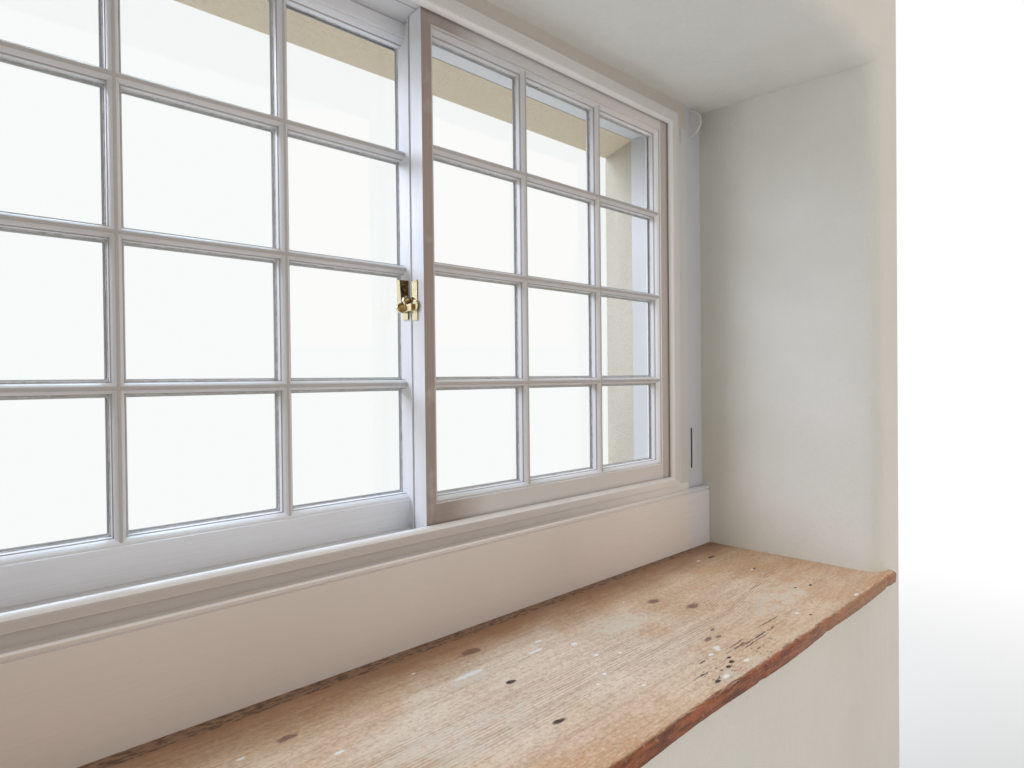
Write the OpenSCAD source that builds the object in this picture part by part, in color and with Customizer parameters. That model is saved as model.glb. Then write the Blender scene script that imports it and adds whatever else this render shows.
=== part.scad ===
// Two-light horizontally sliding sash window in a deep plastered wall recess,
// with a pine window board, shown from floor level up.
// Millimetres, +Z up, +Y outdoors, -Y the room, origin on the floor at the middle of the box.

/* [Panes] */
// distance between the middles of two upright glazing bars
pane_pitch = 200.4; // [150:1:260]
// distance between the middles of two level glazing bars
row_pitch = 183.4; // [140:1:240]
// panes across one sash
columns = 3; // [2:1:4]
// panes up one sash
rows = 4; // [2:1:5]
// half the width of the wood of a glazing bar
bar_half = 7.4; // [6:0.1:12]
// half the width of the narrow nose of a bar
nose_half = 1.2; // [0.5:0.1:3]
// how far the noses lie behind the face of the sash
nose_sink = 3.3; // [0:0.1:6]
// depth of the rounded flank beside a nose
flank_drop = 9; // [5:0.5:12]
// distance from the middle of a bar to the foot of its flank
flank_foot = 6.7; // [4:0.1:7.2]
// radius of the flank
flank_radius = 16; // [8:1:40]
// half the width of a bar with its putty
putty_half = 11; // [8:0.5:16]
// depth from the face of the sash to the glass
glass_depth = 23.8; // [16:0.1:28]
// thickness of the panes
glass_thick = 3; // [2:0.5:6]

/* [Sashes] */
// thickness of a sash
sash_thick = 38; // [34:1:48]
// distance from the face of the room sash to the face of the outer sash
track_pitch = 56; // [48:1:70]
// flat width of a meeting stile beside its moulding
meeting_flat = 20.7; // [16:0.1:40]
// flat width of an outer stile beside its moulding
side_flat = 30; // [20:1:50]
// flat height of the bottom rail below its moulding
bottom_flat = 45; // [30:1:80]
// flat height of the top rail above its moulding
top_flat = 22.4; // [14:0.1:50]
// half the step between the two meeting arrises
meeting_step = 3.2; // [0:0.1:10]

/* [Frame] */
// height of the sill top, on which both sashes run
sill_top = 956; // [700:1:1200]
// width of the frame face around the opening
frame_face = 65; // [40:1:90]
// depth of the frame from the room sash to its outer edge
frame_depth = 110; // [100:1:140]
// clear space above the sashes
sash_play = 1; // [0.5:0.5:4]
// how far the right jamb is set back in the empty outer track
jamb_rebate = 13.6; // [0:0.1:15]
// width of the bead that keeps the room sash in
bead_width = 28; // [14:1:40]
// how far the sill bead stands above the sill top
sill_bead_rise = 12; // [6:1:20]
// radius of the rounded edge of the beads
bead_round = 9; // [3:0.5:9]

/* [Recess] */
// height of the window board above the floor
board_top = 800; // [300:5:1000]
// thickness of the window board
board_thick = 22; // [18:1:45]
// how far the board stands out from the wall face
board_nosing = 22; // [0:1:40]
// half the width of the recess at the window
recess_half = 765; // [700:1:900]
// how much wider the recess is at the room on each side
recess_splay = 26; // [0:1:120]
// depth of the recess from the frame face to the wall face
recess_depth = 368; // [150:1:600]
// radius of the upright plaster corners
corner_radius = 34; // [10:1:60]
// height of the plaster soffit at the window
soffit_height = 1814; // [1600:1:2200]
// fall of the soffit toward the room
soffit_fall = 9; // [0:1:60]

/* [Wall] */
// half the width of the piece of wall shown
wall_half = 900; // [860:1:1400]
// height of the piece of wall shown
wall_height = 1990; // [1900:1:2600]
// thickness of the inside plaster
plaster = 14; // [8:1:30]
// thickness of the outside render
render_thick = 12; // [8:1:30]
// depth of the outside reveal
outer_reveal = 117; // [60:1:250]
// how far the stone sill stands out from the render
stone_nosing = 51; // [10:1:80]

/* [Apron] */
// thickness of the apron board
apron_thick = 15; // [10:1:30]
// height of the apron board
apron_height = 133; // [80:1:200]

/* [Catch] */
// width of a catch plate
plate_width = 15; // [10:1:20]
// height of a catch plate
plate_height = 62; // [40:1:90]
// radius of the boss on the keeper
boss_radius = 9.5; // [6:0.5:12]
// radius of the level knob at the end of the arm
knob_radius = 7.5; // [4:0.5:9]

/* [Hidden] */
$fn = 64;
eps = 0.5;
face_y = 59;
frame_y = -6;
strip_y = -2;
bead_y = -13;
bead_back = -3.5;
opening_half = meeting_step + columns * pane_pitch + side_flat + 1;
sash_bottom = sill_top;
low_arris = sill_top + bottom_flat;
high_arris = low_arris + rows * row_pitch;
sash_top = high_arris + top_flat;
head_under = sash_top + sash_play;
first_arris = meeting_step;
last_arris = meeting_step + columns * pane_pitch;
arris_step = 1.3;
arris_round = 1.6;
flank_run = flank_foot - nose_half;
half_chord = norm([flank_run, flank_drop]) / 2;
chord_gap = sqrt(flank_radius * flank_radius - half_chord * half_chord);
flank_x = (nose_half + flank_foot) / 2 - chord_gap * flank_drop / (2 * half_chord);
flank_y = flank_drop / 2 + chord_gap * flank_run / (2 * half_chord);
ledge = track_pitch - sash_thick - 1;
frame_half = opening_half + frame_face;
bead_half = opening_half - 5;
bead_low = sill_top + sill_bead_rise;
bead_high = head_under - 3.5;
sill_under = sill_top - 51;
board_under = board_top - board_thick;
room_y = frame_y - recess_depth;
wall_core_y = room_y + plaster;
outer_y = frame_depth + outer_reveal;
outer_core_y = outer_y - render_thick;
slope_in = recess_splay / (recess_depth - corner_radius);
corner_y = room_y + corner_radius;
corner_x = recess_half + recess_splay + corner_radius * 1.004;
head_round = 30;
arris_backing = 70;
outer_soffit = sash_top;
outer_half = opening_half + 16;
outer_splay = 45;
stone_low = sill_under - 55;
catch_z = low_arris + 304;
pine = [0.76, 0.6, 0.44];
white = [0.88, 0.88, 0.87];
chalk = [0.78, 0.79, 0.74];
stone_tint = [0.6, 0.57, 0.52];
cream = [0.78, 0.73, 0.6];
brass_tint = [0.8, 0.62, 0.25];
clear = [0.8, 0.88, 0.9, 0.4];

// The window is drawn with the face of the room sash at y = 0 and then moved as a whole.
module placed() translate([0, face_y, 0]) children();

// A flat shape with its first axis up and its second axis outdoors, run along X.
module along_x(from, to) translate([to, 0, 0]) rotate([0, -90, 0])
    linear_extrude(height = to - from) children();

// The same for shapes drawn as outdoors, up.
module along_x_yz(from, to) translate([from, 0, 0]) rotate([90, 0, 90])
    linear_extrude(height = to - from) children();

module upright(from, to) translate([0, 0, from]) linear_extrude(height = to - from) children();

// Full section of a glazing bar: narrow nose, two rounded flanks, a square body, glass tongue and putty.
module bar_section(sink = nose_sink) {
    translate([0, sink]) intersection() {
        translate([flank_x, flank_y]) circle(r = flank_radius);
        translate([-flank_x, flank_y]) circle(r = flank_radius);
        translate([-flank_foot - 1, 0]) square([2 * flank_foot + 2, flank_drop]);
    }
    translate([-bar_half, sink + flank_drop]) square([2 * bar_half, glass_depth - sink - flank_drop]);
    translate([-3, glass_depth - 1]) square([6, sash_thick - 2 - glass_depth + 1]);
    for (side = [-1, 1])
        polygon([[side * 3, glass_depth + glass_thick], [side * putty_half, glass_depth + glass_thick],
            [side * 3, sash_thick - 3]]);
}

// Section of a stile or rail: a flat of the given width with a rounded arris, and half a bar moulding.
module member_section(flat) {
    translate([-flat, 0]) square([flat - arris_step - arris_round, sash_thick]);
    translate([-arris_step - arris_round, arris_round]) circle(r = arris_round);
    translate([-flat, arris_round]) square([flat - arris_step, sash_thick - arris_round]);
    intersection() {
        bar_section();
        translate([-arris_step - eps, 0]) square([putty_half + 2, sash_thick]);
    }
}

// The stile of the room sash is moulded and grooved along its outer edge, that of the outer sash
// is plain and reaches forward to the room sash.
module meeting_stile_solid(plain = false) translate([first_arris, 0, 0]) upright(sash_bottom, sash_top)
    difference() {
        union() {
            member_section(meeting_flat);
            if (plain) translate([-meeting_flat, -ledge]) square([meeting_flat + bar_half, ledge + glass_depth]);
        }
        if (!plain) translate([-meeting_flat - 1, sash_thick - 6.5]) square([9, 5.5]);
    }

module side_stile_solid() translate([last_arris, 0, 0]) upright(sash_bottom, sash_top)
    mirror([1, 0]) member_section(side_flat);

rail_from = first_arris - arris_step - arris_round;
rail_to = last_arris + arris_step + arris_round;

module bottom_rail_solid() translate([0, 0, low_arris]) along_x(rail_from, rail_to) member_section(bottom_flat);

module top_rail_solid() translate([0, 0, high_arris]) along_x(rail_from, rail_to)
    mirror([1, 0]) member_section(top_flat);

module bars_solid(plain = false) difference() {
    union() {
        for (i = [1 : columns - 1])
            translate([first_arris + i * pane_pitch, 0, 0]) upright(low_arris, high_arris)
                bar_section(nose_sink + 0.5);
        for (j = [1 : rows - 1])
            translate([0, 0, low_arris + j * row_pitch]) along_x(first_arris, last_arris) bar_section();
    }
    meeting_stile_solid(plain);
    side_stile_solid();
    bottom_rail_solid();
    top_rail_solid();
}

module bottom_rail_cut(plain = false) difference() {
    bottom_rail_solid();
    meeting_stile_solid(plain);
    side_stile_solid();
}

module top_rail_cut(plain = false) difference() {
    top_rail_solid();
    meeting_stile_solid(plain);
    side_stile_solid();
}

module panes() for (i = [0 : columns - 1], j = [0 : rows - 1])
    translate([first_arris + i * pane_pitch + 3, glass_depth, low_arris + j * row_pitch + 3])
        cube([pane_pitch - 6, glass_thick, row_pitch - 6]);

module right_sash() placed() children();
module left_sash() placed() translate([0, track_pitch, 0]) mirror([1, 0, 0]) children();

module right_meeting_stile() color(white) right_sash() meeting_stile_solid();
module right_side_stile() color(white) right_sash() side_stile_solid();
module right_top_rail() color(white) right_sash() top_rail_cut();
module right_bottom_rail() color(white) right_sash() bottom_rail_cut();
module right_bars() color(white) right_sash() bars_solid();
module right_glass() color(clear) right_sash() panes();
module left_meeting_stile() color(white) left_sash() meeting_stile_solid(true);
module left_side_stile() color(white) left_sash() side_stile_solid();
module left_top_rail() color(white) left_sash() top_rail_cut(true);
module left_bottom_rail() color(white) left_sash() bottom_rail_cut(true);
module left_bars() color(white) left_sash() bars_solid(true);
module left_glass() color(clear) left_sash() panes();

// Beads that keep the room sash in: a bar with one rounded edge, mitred at the corners.
module bead_section(width) {
    translate([0, bead_y + bead_round]) square([width, bead_back - bead_y - bead_round]);
    translate([bead_round, bead_y]) square([width - bead_round, bead_back - bead_y]);
    intersection() {
        translate([bead_round, bead_y + bead_round]) circle(r = bead_round);
        translate([0, bead_y]) square([bead_round, bead_round]);
    }
}

sill_bead_width = sill_bead_rise + 6.5;

module mitre_side(sign) {
    reach = 100;
    placed() translate([0, 20, 0]) rotate([90, 0, 0]) linear_extrude(height = 60)
        polygon([[sign * bead_half, bead_low],
            [sign * (bead_half + reach), bead_low - reach * sill_bead_width / bead_width],
            [sign * (bead_half + reach), bead_high + reach], [sign * bead_half, bead_high]]);
}

module bead_sill() color(white) difference() {
    placed() translate([0, 0, bead_low]) along_x(-bead_half - bead_width, bead_half + bead_width)
        mirror([1, 0]) bead_section(sill_bead_width);
    for (sign = [-1, 1]) mitre_side(sign);
}

module bead_head() color(white) difference() {
    placed() translate([0, 0, bead_high]) along_x(-bead_half - bead_width, bead_half + bead_width)
        bead_section(bead_width);
    for (sign = [-1, 1]) mitre_side(sign);
}

module bead_upright() intersection() {
    placed() translate([bead_half, 0, 0]) upright(bead_low - sill_bead_width, bead_high + bead_width)
        bead_section(bead_width);
    mitre_side(1);
}

module bead_right() color(white) bead_upright();
module bead_left() color(white) mirror([1, 0, 0]) bead_upright();

// Frame: sill, head and two jambs, each with a shallow seat for the beads.
module sill_body() along_x_yz(-frame_half, frame_half)
    polygon([[bead_back, sill_top], [bead_back, bead_low - sill_bead_width], [frame_y, bead_low - sill_bead_width],
        [frame_y, sill_under], [frame_depth, sill_under], [frame_depth, sill_top - 4], [97, sill_top]]);

module frame_sill() color(white) placed() {
    sill_body();
    along_x_yz(-outer_half, outer_half)
        polygon([[frame_depth, sill_under], [frame_depth + 40, sill_under], [frame_depth + 40, sill_under + 22],
            [frame_depth + 36, sill_under + 30], [frame_depth, sill_top - 4]]);
}

// The head has a shallow seat for its bead, no longer than the bead.
module frame_head() color(white) placed() difference() {
    along_x_yz(-frame_half, frame_half) polygon([[frame_y, head_under], [frame_y, soffit_height],
        [frame_depth, soffit_height], [frame_depth, head_under]]);
    translate([-bead_half - bead_width, frame_y - 1, head_under - 1])
        cube([2 * (bead_half + bead_width), bead_back - frame_y + 1, bead_high + bead_width - head_under + 1]);
}

module jamb() placed() difference() {
    upright(sill_top - 4, head_under)
        polygon([[opening_half, bead_back], [bead_half + bead_width, bead_back], [bead_half + bead_width, frame_y],
            [frame_half, frame_y], [frame_half, frame_depth], [opening_half, frame_depth]]);
    sill_body();
}

// The right jamb has a narrow slit near its top and is set back beside the empty outer track.
module frame_jamb_right() color(white) difference() {
    jamb();
    placed() translate([bead_half + bead_width + 17, frame_y - 1, head_under - 36]) cube([2, 6, 35]);
    placed() translate([opening_half - 1, sash_thick + 1, sill_top - 20])
        cube([jamb_rebate + 1, frame_depth, head_under]);
}
module frame_jamb_left() color(white) mirror([1, 0, 0]) jamb();

// Flat strips between the frame and the plaster; the right one has an old cord slot.
module strip_solid() placed() upright(sill_under, soffit_height)
    translate([frame_half, strip_y]) square([recess_half + plaster - frame_half, 15]);

module strip_right() color(white) difference() {
    strip_solid();
    placed() translate([frame_half + 17, strip_y - 1, 979]) cube([5, 11, 92]);
}

module strip_left() color(white) mirror([1, 0, 0]) strip_solid();

// Plan of the solid wall beside the recess, plaster included.
module side_plan() {
    polygon([[recess_half + slope_in * (frame_y - strip_y), strip_y],
        [corner_x - 0.996 * corner_radius, corner_y - 0.0895 * corner_radius],
        [corner_x, corner_y], [corner_x, room_y], [wall_half, room_y], [wall_half, strip_y]]);
    translate([corner_x, corner_y]) circle(r = corner_radius);
}

// Plan of the masonry of one side of the wall.
module side_core_plan() polygon([[frame_half, 13], [recess_half + plaster, 13], [recess_half + plaster, strip_y],
    [recess_half + recess_splay + plaster, corner_y], [corner_x + 2, wall_core_y], [wall_half, wall_core_y],
    [wall_half, outer_core_y], [outer_half + outer_splay + render_thick, outer_core_y],
    [outer_half + render_thick, frame_depth], [frame_half, frame_depth]]);

// Section of everything above the window, drawn as outdoors, up.
module head_section() {
    low = soffit_height - soffit_fall;
    difference() {
        polygon([[frame_y, soffit_height], [room_y + head_round, low], [room_y, low], [room_y, wall_height],
            [outer_y, wall_height], [outer_y, outer_soffit], [frame_depth, outer_soffit],
            [frame_depth, soffit_height]]);
        difference() {
            translate([room_y - 1, low - 1]) square(head_round + 1);
            translate([room_y + head_round, low + head_round]) circle(r = head_round);
        }
    }
}

module head_core_section() {
    low = soffit_height - soffit_fall;
    polygon([[strip_y, soffit_height], [strip_y, soffit_height + plaster], [corner_y, low + plaster],
        [wall_core_y, low + plaster + arris_backing], [wall_core_y, wall_height], [outer_core_y, wall_height],
        [outer_core_y, outer_soffit + render_thick], [frame_depth, outer_soffit + render_thick],
        [frame_depth, soffit_height]]);
}

module below_core_section() polygon([[wall_core_y, 0], [outer_core_y, 0], [outer_core_y, stone_low],
    [frame_depth, stone_low], [frame_depth, sill_under], [frame_y, sill_under], [frame_y, board_under],
    [wall_core_y, board_under]]);

module stone_section() polygon([[frame_depth, stone_low], [outer_y + stone_nosing, stone_low],
    [outer_y + stone_nosing, sill_under - 18], [frame_depth + 40, sill_under], [frame_depth, sill_under]]);

stone_half = outer_half + 60;

module stone_sill() color(stone_tint) placed() along_x_yz(-stone_half, stone_half) stone_section();

module wall_below() color(stone_tint) placed() along_x_yz(-wall_half, wall_half) below_core_section();

module wall_head() color(stone_tint) placed() along_x_yz(-wall_half, wall_half) head_core_section();

module side_core() difference() {
    placed() upright(1, wall_height) side_core_plan();
    placed() along_x_yz(0, wall_half + 1) head_section();
    placed() along_x_yz(0, wall_half + 1) below_core_section();
    placed() along_x_yz(0, stone_half) stone_section();
}

module wall_right() color(stone_tint) intersection() {
    side_core();
    placed() translate([0, -500, board_under - eps]) cube([2000, 1200, 2000]);
}
module wall_left() color(stone_tint) mirror([1, 0, 0]) intersection() {
    side_core();
    placed() translate([0, -500, board_under - eps]) cube([2000, 1200, 2000]);
}

module side_plaster() difference() {
    placed() upright(board_under, wall_height) difference() {
        side_plan();
        side_core_plan();
    }
    placed() along_x_yz(0, wall_half + 1) head_section();
}

module plaster_right() color(chalk) side_plaster();
module plaster_left() color(chalk) mirror([1, 0, 0]) side_plaster();

module plaster_below() color(chalk) placed() translate([-wall_half, room_y, 0])
    cube([2 * wall_half, plaster, board_under]);

module plaster_head() color(chalk) placed() along_x_yz(-wall_half, wall_half) difference() {
    head_section();
    head_core_section();
    translate([strip_y, 0]) square([600, wall_height + 1]);
}

// Outside render with its splayed reveals.
module side_render() difference() {
    placed() upright(stone_low, outer_soffit) polygon([[outer_half, frame_depth],
        [outer_half + outer_splay, outer_y], [wall_half, outer_y], [wall_half, outer_core_y],
        [outer_half + outer_splay + render_thick, outer_core_y], [outer_half + render_thick, frame_depth]]);
    placed() along_x_yz(0, stone_half) stone_section();
}

module render_right() color(cream) side_render();
module render_left() color(cream) mirror([1, 0, 0]) side_render();

module render_below() color(cream) placed() translate([-wall_half, outer_core_y, 0])
    cube([2 * wall_half, render_thick, stone_low]);

module render_head() color(cream) placed() along_x_yz(-wall_half, wall_half) difference() {
    head_section();
    head_core_section();
    translate([-600, 0]) square([600 + frame_depth, wall_height + 1]);
}

// One pine plank, fitted between the reveals and around both plaster corners.
module window_board() color(pine) placed() upright(board_under, board_top) difference() {
    translate([-corner_x - 10, room_y - board_nosing])
        square([2 * corner_x + 20, recess_depth + board_nosing]);
    side_plan();
    mirror([1, 0]) side_plan();
}

// Apron board with a small bead along its top edge.
module apron_board() color(white) placed() along_x(-recess_half, recess_half) {
    translate([board_top, frame_y - apron_thick]) square([apron_height - 9, apron_thick]);
    translate([board_top + apron_height - 9, frame_y - apron_thick + 3]) square([2, apron_thick - 3]);
    translate([board_top + apron_height - 7, frame_y - apron_thick + 3.5]) square([7, apron_thick - 3.5]);
    translate([board_top + apron_height - 3.5, frame_y - apron_thick + 3.5]) circle(r = 3.5);
}

// Brass catch between the two meeting stiles: a plate with an upright lever on the outer sash, a keeper
// with a round boss on the room sash, and an arm across both with a level knob and a finger knob.
keeper_x = first_arris - meeting_flat;
ledge_x = -first_arris - bar_half;
boss_y = 20.5;
keeper_y = 16.5;
arm_end = 22.5;
arm_x = keeper_x - 4.5;
arm_half = 5.5;
arm_z = catch_z - 2;
lever_y = track_pitch - 2.3;
lever_depth = 9.8;
lever_foot = 12.7;
lever_head = 16.7;
knob_y = 46;
plate_drop = 22;
plate_lift = 4;

module catch_plate() color(brass_tint) placed() {
    translate([ledge_x - 2, lever_y, catch_z - plate_drop + plate_lift])
        cube([2, plate_width, plate_height]);
    translate([0, lever_y + lever_depth, 0]) rotate([90, 0, 0]) linear_extrude(height = lever_depth)
        polygon([[ledge_x - 1, arm_z - arm_half - 0.5], [ledge_x - lever_foot, arm_z - arm_half - 0.5],
            [ledge_x - lever_head, catch_z + plate_height - 18], [ledge_x - 1, catch_z + plate_height - 18]]);
}

module catch_keeper() color(brass_tint) placed() {
    translate([keeper_x - 1.5, keeper_y, catch_z - plate_drop]) cube([1.5, plate_width, plate_height]);
    translate([keeper_x - 1.5, boss_y, catch_z]) rotate([0, -90, 0]) rotate_extrude()
        polygon([[0, 0], [boss_radius, 0], [boss_radius, 1], [boss_radius - 1, 1.4], [boss_radius - 1, 2],
            [boss_radius - 0.2, 2.4], [boss_radius - 0.5, 3], [0, 3]]);
}

module catch_screw() color(brass_tint) placed() {
    translate([arm_x - 4, arm_end, arm_z - arm_half]) cube([4, lever_y - arm_end, 2 * arm_half]);
    translate([arm_x - 4, lever_y - 5, arm_z - arm_half]) cube([ledge_x - arm_x, 5, 2 * arm_half]);
    translate([arm_x - 6, knob_y + 8, catch_z - 1]) rotate([90, 0, 0]) rotate_extrude()
        polygon([[0, 0], [knob_radius - 1, 0], [knob_radius, 1], [knob_radius, 6.5], [knob_radius - 1.5, 8], [0, 8]]);
}

// Ball standing on the arm.
module catch_finger() color(brass_tint) placed()
    translate([arm_x - 2, knob_y - 7, arm_z + arm_half]) rotate_extrude()
        polygon([[0, 0], [4.5, 0], [5.8, 2], [7, 4.2], [7.4, 6.2], [7, 8.4], [5.6, 10.9], [3, 12.9], [0, 13.6]]);

// Small white bracket standing out at the top of each side strip, with an eye for the pin of a blind.
bracket_x = 724;
bracket_z = 1778;
bracket_reach = 31;
bracket_web = 2;
bracket_rim = 5;
bracket_foot = 3;
foot_width = 14;
eye_reach = 22;
eye_radius = 6;
pin_radius = 2.4;

module bracket_plan(inset = 0) intersection() {
    circle(r = bracket_reach - inset);
    translate([0, -bracket_reach]) square([bracket_reach, 2 * bracket_reach]);
}

module bracket() placed() translate([bracket_x, strip_y, bracket_z]) rotate([90, 0, -90]) difference() {
    union() {
        linear_extrude(height = bracket_web) bracket_plan();
        linear_extrude(height = bracket_rim) difference() {
            bracket_plan();
            bracket_plan(bracket_rim);
        }
        linear_extrude(height = bracket_rim) translate([eye_reach, 0]) circle(r = eye_radius);
        translate([0, -bracket_reach, bracket_rim - foot_width])
            cube([bracket_foot, 2 * bracket_reach, foot_width]);
    }
    translate([eye_reach, 0, -1]) cylinder(r = pin_radius, h = bracket_rim + 2);
}

module blind_bracket_right() color(white) bracket();
module blind_bracket_left() color(white) mirror([1, 0, 0]) bracket();

wall_below();
wall_left();
wall_right();
wall_head();
plaster_below();
plaster_left();
plaster_right();
plaster_head();
render_below();
render_left();
render_right();
render_head();
stone_sill();
window_board();
apron_board();
frame_sill();
frame_head();
frame_jamb_left();
frame_jamb_right();
strip_left();
strip_right();
bead_sill();
bead_head();
bead_left();
bead_right();
left_meeting_stile();
left_side_stile();
left_top_rail();
left_bottom_rail();
left_bars();
left_glass();
right_meeting_stile();
right_side_stile();
right_top_rail();
right_bottom_rail();
right_bars();
right_glass();
catch_plate();
catch_keeper();
catch_screw();
catch_finger();
blind_bracket_left();
blind_bracket_right();
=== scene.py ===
"""Finishes, worn pine board and lighting for the sliding sash window and its wall recess.

Everything is in metres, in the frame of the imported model: X to the right seen from the room,
Y toward outdoors, Z up, the floor at Z = 0. Colours are linear.
"""
import math

import bpy
from mathutils import Matrix, Vector, noise


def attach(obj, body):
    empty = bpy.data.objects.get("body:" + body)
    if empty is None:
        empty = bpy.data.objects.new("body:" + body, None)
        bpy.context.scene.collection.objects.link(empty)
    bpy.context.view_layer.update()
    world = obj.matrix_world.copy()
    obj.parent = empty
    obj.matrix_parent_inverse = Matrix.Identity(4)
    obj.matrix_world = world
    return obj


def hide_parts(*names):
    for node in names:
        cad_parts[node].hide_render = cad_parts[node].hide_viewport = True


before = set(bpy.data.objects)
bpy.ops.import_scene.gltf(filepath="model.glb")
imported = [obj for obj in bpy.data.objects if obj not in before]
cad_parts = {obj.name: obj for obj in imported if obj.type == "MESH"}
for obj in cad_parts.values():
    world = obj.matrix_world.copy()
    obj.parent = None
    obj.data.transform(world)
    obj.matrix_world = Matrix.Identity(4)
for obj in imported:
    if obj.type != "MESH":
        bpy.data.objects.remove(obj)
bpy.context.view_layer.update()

# Places taken over from the CAD source.
FACE_Y = 0.059            # room side of the inner sash
TRACK_PITCH = 0.056       # from there to the same face of the outer sash
PANE_PITCH = 0.2004
ROW_PITCH = 0.1834
COLUMNS = 3
ROWS = 4
BAR_HALF = 0.0074
NOSE_SINK = 0.0033        # how far a glazing bar's front lies behind the sash's face
FOOT_DEPTH = 0.0123       # how far the foot of the moulding does
GLASS_DEPTH = 0.0238      # and the glass
MEETING_STEP = 0.0032
LOW_ARRIS = 1.001         # height of the lowest panes' lower line
BOARD_TOP = 0.8
BOARD_UNDER = 0.778
BOARD_BACK = FACE_Y - 0.006
APRON_FRONT = FACE_Y - 0.021
WALL_FACE = FACE_Y - 0.374
BOARD_FRONT = WALL_FACE - 0.022
WALL_END = 0.9
RECESS_HALF = 0.765
RECESS_SPLAY = 0.026
RECESS_DEPTH = 0.368
CORNER_RADIUS = 0.034
CORNER_X = RECESS_HALF + RECESS_SPLAY + CORNER_RADIUS * 1.004
CORNER_Y = WALL_FACE + CORNER_RADIUS
REVEAL_SLOPE = RECESS_SPLAY / (RECESS_DEPTH - CORNER_RADIUS)
BOARD_HALF = CORNER_X + 0.010

# Camera: where it stands, how it is turned, in radians, and its lens, in millimetres.
CAMERA_PLACE = (-0.5347, -0.7167, 1.1910)
CAMERA_YAW = 0.7308
CAMERA_PITCH = -0.0088
CAMERA_ROLL = -0.0106
CAMERA_LENS = 21.2904
SENSOR_WIDTH = 36.0

# Lamps: name, place, what it points at, size, watts and colour.
LAMPS = (
    ("daylight", (-2.1, 2.0, 3.1), (0.1, 0.0, 1.2), (2.4, 2.4), 148.0, (0.77, 0.80, 1.0)),
    ("high_sky", (0.3, 2.6, 5.0), (0.0, -0.1, 0.9), (1.6, 1.6), 118.0, (0.57, 0.79, 1.0)),
    ("room_glow", (1.9, -2.6, 2.2), (0.0, 0.0, 1.2), (2.0, 1.6), 4.5, (1.0, 0.25, 0.15)),
)
WORLD_LIGHT = (1.0, 0.945, 0.84, 1.0)
WORLD_STRENGTH = 0.65
FLOOR_REACH = 30.0
FLOOR_GREY = (0.80, 0.80, 0.795)
FLOOR_FADE = (1.4, 4.0)   # distances between which the floor turns into the background

# White paint: tints, painted light, shade and highlights, and the places where they set in.
PAINT = (0.72, 0.722, 0.735)
# painted light: paint near the right reveal made paler
LIT_NEAR_REVEAL = (0.90, 0.865, 0.85)
# painted highlight for rounded noses that catch the light
CREST_HIGHLIGHT = (0.94, 0.945, 0.965)
# painted shade on flats facing the room near the middle, with some handling grime
SHADE_AND_HANDLING = (0.335, 0.275, 0.25)
OUTSIDE_GREY = (0.46, 0.455, 0.44)
OUTER_HALF_GREY = (0.48, 0.475, 0.465)
BRUSH_SHADE = (0.60, 0.58, 0.56)
DUST = (0.50, 0.47, 0.43)
FOOT_GRIME_AND_SHADE = (0.36, 0.33, 0.31)
NOSE_SHADE = (0.33, 0.30, 0.285)
SLOT_SHADE = (0.10, 0.085, 0.08)
DARK_WOOD = (0.20, 0.11, 0.06)
BARE_WOOD = (0.36, 0.24, 0.15)
FLAT_ON = -0.99           # Y of a direction that faces the room squarely
TURNING = -0.93           # and of one where a rounded nose begins
FAR_RUN = (0.20, 0.62)
END_RUN = (0.658, 0.698)
OUTER_HALF_RUN = (0.100, 0.122)
CORD_SLOT = (0.7199, 0.979, 1.071)
CHIPS = [((-0.2036, 0.124, 1.361), (0.004, 0.006, 0.006)), ((-0.2036, 0.124, 1.329), (0.0025, 0.006, 0.010)),
         ((-0.4040, 0.124, 1.342), (0.0025, 0.006, 0.008))]

# Old pine: tones.
HONEY = (0.72, 0.45, 0.26)
PALE_PINE = (0.84, 0.655, 0.485)
GRAIN_BROWN = (0.36, 0.20, 0.115)
BLOTCH = (0.62, 0.36, 0.20)
# painted pool of light and sheen on the board's top
LIGHT_POOL = (0.95, 0.87, 0.77)
RING_BROWN = (0.52, 0.34, 0.20)
STREAK_BROWN = (0.47, 0.30, 0.175)
FIBRE_BROWN = (0.45, 0.26, 0.15)
MOTTLE_DARK = (0.53, 0.30, 0.175)
MOTTLE_PALE = (0.93, 0.80, 0.65)
SPECK_DARK = (0.42, 0.25, 0.15)
SPECK_PALE = (0.90, 0.79, 0.66)
STAIN = (0.80, 0.76, 0.66)
KNOT = (0.20, 0.095, 0.09)
# painted shade along the back of the board, with some grime
BACK_SHADE_AND_GRIME = (0.275, 0.135, 0.068)
# painted shade with grime in the corner against the apron
CORNER_SHADE_PALE = (0.29, 0.185, 0.125)
CORNER_SHADE_DARK = (0.08, 0.045, 0.028)
PIT = (0.06, 0.035, 0.025)
FLECK = (0.96, 0.955, 0.94)
EDGE_RED = (0.40, 0.125, 0.050)
EDGE_DARK = (0.16, 0.050, 0.024)
EDGE_FAR = (0.46, 0.25, 0.13)
EDGE_TORN = (0.50, 0.30, 0.17)
EDGE_HOLE = (0.06, 0.03, 0.02)

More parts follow.
